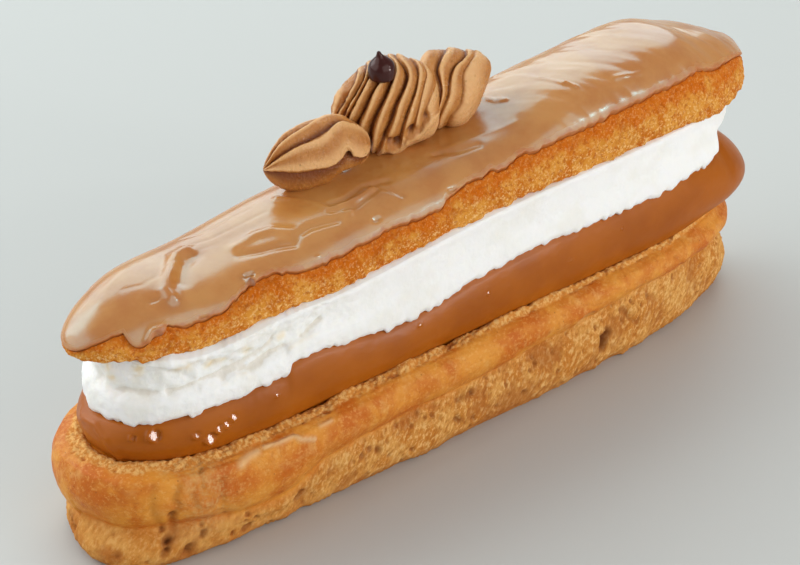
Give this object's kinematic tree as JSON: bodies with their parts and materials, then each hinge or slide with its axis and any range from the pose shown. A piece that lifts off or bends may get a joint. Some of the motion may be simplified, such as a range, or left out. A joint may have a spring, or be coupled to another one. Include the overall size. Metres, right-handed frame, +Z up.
{
  "type": "coffee eclair",
  "caption": "Long choux bun split and filled with coffee cream and whipped cream, with coffee icing, a piped buttercream rosette and a chocolate drop on top.",
  "frame": {"origin": "centre of the bounding box in X and Y, on the floor under the bun", "axes": "+X along the bun's length, from its blunt low end to its higher end; +Y across it, away from the side the picture shows; +Z up"},
  "size_m": [0.1683, 0.0409, 0.0741],
  "materials": {
    "crust": "matte baked crust with porous crumb where it is cut",
    "coffee_cream": "glossy smooth cream",
    "whipped_cream": "soft satin",
    "icing": "glossy set icing with fine wrinkles",
    "buttercream": "satin piped cream",
    "chocolate": "glossy dark"
  },
  "bodies": {
    "root": {"choux_base": "crust", "coffee_cream": "coffee_cream", "whipped_cream": "whipped_cream", "choux_lid": "crust", "coffee_icing": "icing", "buttercream_shell": "buttercream", "buttercream_swirl": "buttercream", "buttercream_tail": "buttercream", "chocolate_drop": "chocolate"}
  },
  "joints": []
}
